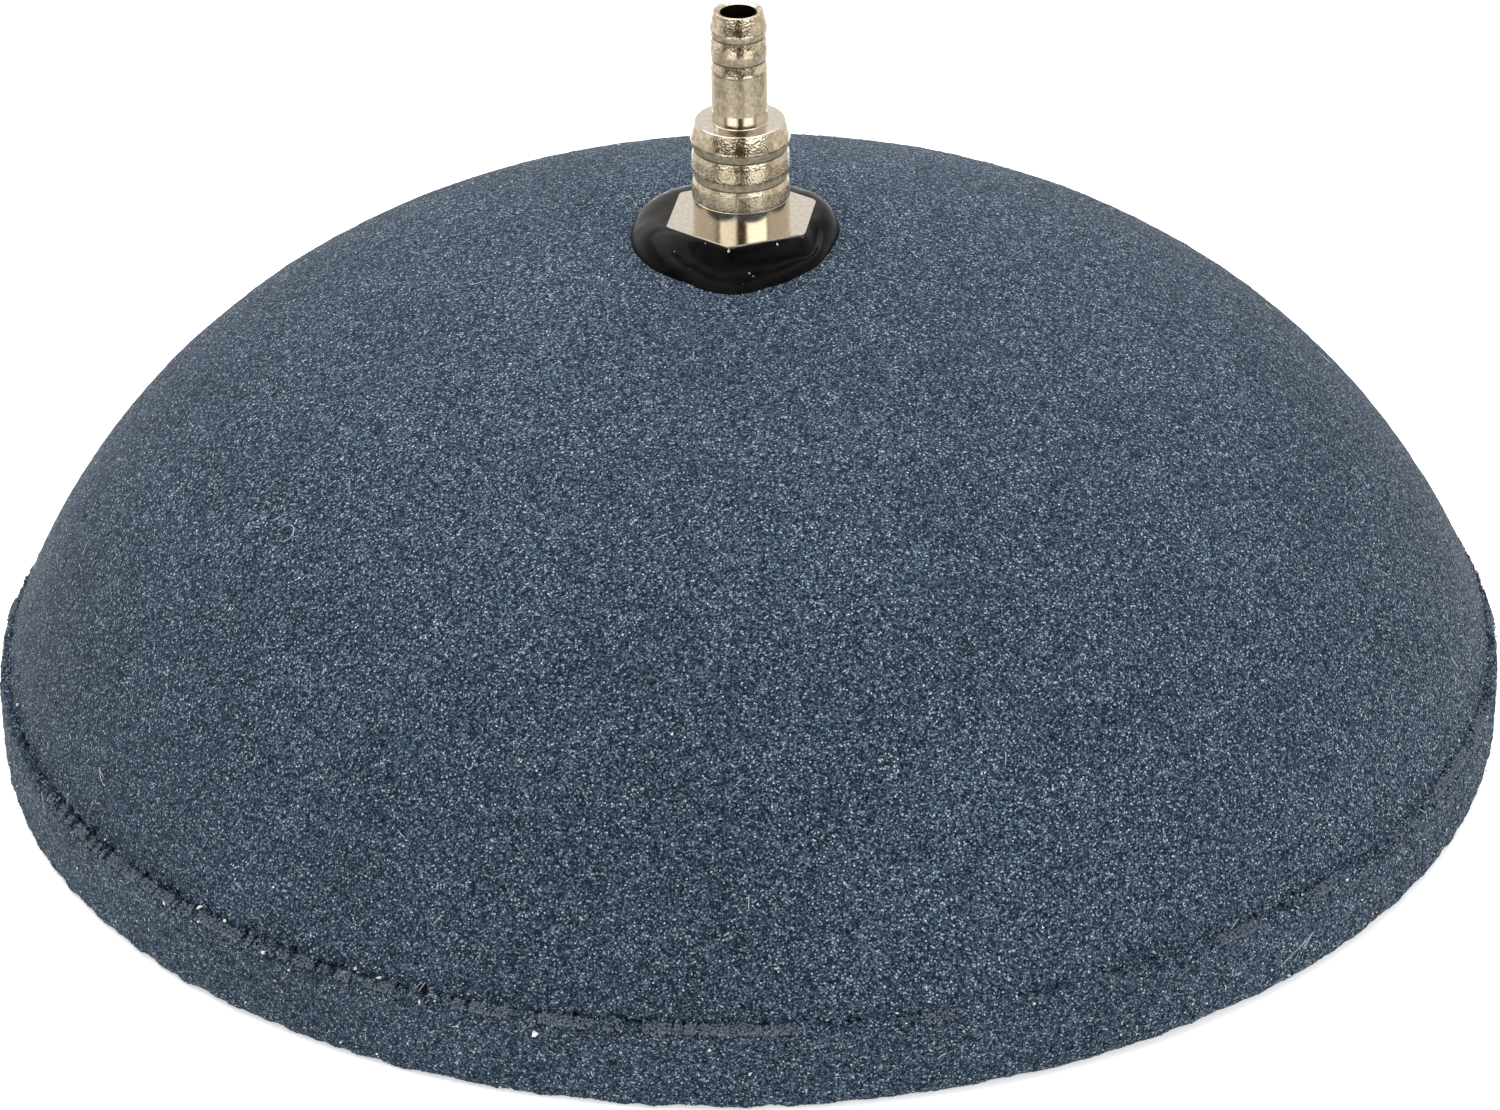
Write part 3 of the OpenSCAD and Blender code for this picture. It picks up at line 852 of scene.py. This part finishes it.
for piece, material, slot, node in (
        (dome_mesh(), grit_material("grit_dome_look", shift=0.0), "grit_dome", "dome_shell"),
        (disc_mesh(), disc_grit, "grit_disc", "base_disc"),
        (fitting_mesh(), nickel_material(), "nickel_plate", "inlet_fitting"),
        (sealant_mesh(), sealant_material(), "sealant", "sealant_collar"),
        (seam_grains(), disc_grit, "grit_disc", None),
        (ledge_crumbs(), crumb_painted_light_look, "grit_disc", None),
        (pale_chips(), chip_and_painted_glint_look, "grit_dome", None),
        (fibres(), fibre_look, "grit_dome", None),
        (specks_and_painted_glints(), chip_and_painted_glint_look, "nickel_plate", None)):
    dress(piece, material)
    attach(piece, "root")
    if node:
        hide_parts(node)

# The CAD pieces that keep their meshes, inside the dome and in the seam
inner_looks = {
    "seam_bond": mottled_material("bond_look", (0.006, 0.008, 0.011), (0.020, 0.024, 0.030),
                                  metallic=0.0, rough=0.8, scale=900.0),
    "inner_gasket": mottled_material("gasket_look", (0.015, 0.015, 0.015), (0.035, 0.035, 0.035),
                                     metallic=0.0, rough=0.7, scale=600.0),
    "inner_washer": mottled_material("washer_look", (0.45, 0.46, 0.48), (0.62, 0.63, 0.65),
                                     metallic=1.0, rough=0.35, scale=500.0),
    "lock_nut": mottled_material("nut_look", (0.60, 0.46, 0.22), (0.78, 0.62, 0.34),
                                 metallic=1.0, rough=0.35, scale=500.0),
}
for node, material in inner_looks.items():
    dress(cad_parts[node], material)


# ---------------------------------------------------------------- stage, light and camera
def floor():
    """A pale table top, cut short at the front and the sides so the fitting mirrors the studio beyond."""
    side, near_edge, far_edge = 0.14, -0.16, 0.6
    # just under the disc, so that the two flat faces don't share a plane
    top = -0.05 * MM
    albedo, glow = 0.95, 0.42
    corners = [(-side, near_edge, top), (side, near_edge, top),
               (side, far_edge, top), (-side, far_edge, top)]
    piece = add_mesh("studio_floor", corners, [(0, 1, 2, 3)], smooth=False)
    n = Nodes("floor_look")
    n.shader.inputs["Base Color"].default_value = (albedo, albedo, albedo, 1)
    n.shader.inputs["Roughness"].default_value = 0.9
    n.shader.inputs["Emission Color"].default_value = (1, 1, 1, 1)
    n.shader.inputs["Emission Strength"].default_value = glow
    dress(piece, n.material)


# The softboxes' colour, and the point they all face
LAMP_COLOUR = (0.95, 0.98, 1.0)
LAMP_AIM = (0, 0, 0.06)


def softbox(name, azimuth, elevation, distance, width, height, power):
    """A soft panel of light. Azimuth is measured from the camera's side, positive to the right."""
    light = bpy.data.lights.new(name, "AREA")
    light.shape = "RECTANGLE"
    light.size, light.size_y = width, height
    light.energy = power
    light.color = LAMP_COLOUR
    lamp = bpy.data.objects.new(name, light)
    a, e = math.radians(azimuth), math.radians(elevation)
    back = Vector((math.sin(a) * math.cos(e), -math.cos(a) * math.cos(e), math.sin(e)))
    lamp.location = Vector(LAMP_AIM) + back * distance
    lamp.rotation_mode = "QUATERNION"
    lamp.rotation_quaternion = back.to_track_quat("Z", "Y")
    bpy.context.scene.collection.objects.link(lamp)


# Light levels of the studio round the object: beside, behind and above it, under the table's level, and
# on two low panels in front. The warm glow is added everywhere, and is alone in front, beside the panels.
STUDIO_LEVEL, LOW_SIDE_LEVEL, PANEL_LEVEL = 0.95, 0.35, 1.8
DIM_FRONT = (0.105, 0.066, 0.032)
# The panels' azimuths: their middle, and from there where each panel fades in and out, in degrees
PANEL_MIDDLE = 2
PANEL_FADE_IN = (5, 20)
PANEL_FADE_OUT = (44, 64)
# Places on the unit sphere of directions: heights over which the panels end at their top, depths over
# which the studio rises behind the dim front, and heights over which it rises from the low level
PANEL_TOP = (-0.18, -0.05)
FRONT_DEPTH = (-0.62, -0.22)
LOW_HEIGHT = (-0.42, -0.22)


class WorldNodes(Nodes):
    """The same short way to build the world's node tree."""

    def __init__(self, name):
        self.world = bpy.data.worlds.new(name)
        self.world.use_nodes = True
        self.tree = self.world.node_tree
        self.lighting = self.tree.nodes["Background"]
        self.output = self.tree.nodes["World Output"]


def surroundings():
    """A pale studio that is dim and warm in front, with two low panels there, and an even white backdrop."""
    n = WorldNodes("studio")
    bpy.context.scene.world = n.world
    towards = n.add("ShaderNodeTexCoord").outputs["Generated"]
    direction = n.add("ShaderNodeSeparateXYZ", {0: towards}).outputs
    around = n.math("ARCTAN2", direction[0], n.math("MULTIPLY", direction[1], -1.0))
    apart = n.math("ABSOLUTE", n.math("SUBTRACT", around, math.radians(PANEL_MIDDLE)))
    fade_in, fade_out = map(math.radians, PANEL_FADE_IN), map(math.radians, PANEL_FADE_OUT)
    panel = n.math("MULTIPLY", n.spread(apart, *fade_in, 0.0, 1.0), n.spread(apart, *fade_out, 1.0, 0.0))
    panel = n.math("MULTIPLY", panel, n.spread(direction[2], *PANEL_TOP, PANEL_LEVEL, 0.0))
    level = n.math("MULTIPLY", n.spread(direction[1], *FRONT_DEPTH, 0.0, 1.0),
                   n.spread(direction[2], *LOW_HEIGHT, LOW_SIDE_LEVEL, STUDIO_LEVEL))
    level = n.math("MAXIMUM", level, panel)
    pale = n.add("ShaderNodeCombineColor", {0: level, 1: level, 2: level}).outputs[0]
    n.feed(n.lighting.inputs["Color"], n.mix(1.0, pale, DIM_FRONT, "ADD"))
    backdrop = n.add("ShaderNodeBackground", {"Color": (1, 1, 1, 1)})
    choice = n.add("ShaderNodeMixShader", {0: n.add("ShaderNodeLightPath").outputs["Is Camera Ray"],
                                           1: n.lighting.outputs[0], 2: backdrop.outputs[0]})
    n.feed(n.output.inputs["Surface"], choice.outputs[0])


# The camera of the reference view: lens in millimetres, place, the point it faces, and roll in degrees
LENS = 125.07
CAMERA_AT = (0, -0.60966, 0.35767)
CAMERA_AIM = (0.0004, 0, 0.0202)
CAMERA_ROLL = -0.9075


def camera():
    """The reference view: a long lens that looks down at 29 degrees."""
    data = bpy.data.cameras.new("camera")
    data.sensor_width = 36
    data.lens = LENS
    data.dof.use_dof = False
    data.clip_start, data.clip_end = 0.01, 20
    eye = bpy.data.objects.new("camera", data)
    eye.location = CAMERA_AT
    aim = Vector(CAMERA_AIM) - eye.location
    roll = Quaternion((0, 0, 1), math.radians(CAMERA_ROLL))
    eye.rotation_mode = "QUATERNION"
    eye.rotation_quaternion = aim.to_track_quat("-Z", "Y") @ roll
    bpy.context.scene.collection.objects.link(eye)
    bpy.context.scene.camera = eye


floor()
surroundings()
softbox("softbox_top", azimuth=-160, elevation=72, distance=1.8, width=2.2, height=2.2, power=42)
softbox("softbox_left", azimuth=-33, elevation=27, distance=1.5, width=0.98, height=0.75, power=5.2)
softbox("softbox_right", azimuth=37, elevation=27, distance=1.5, width=1.20, height=0.75, power=9.5)
camera()

bpy.context.scene.view_settings.view_transform = "Standard"
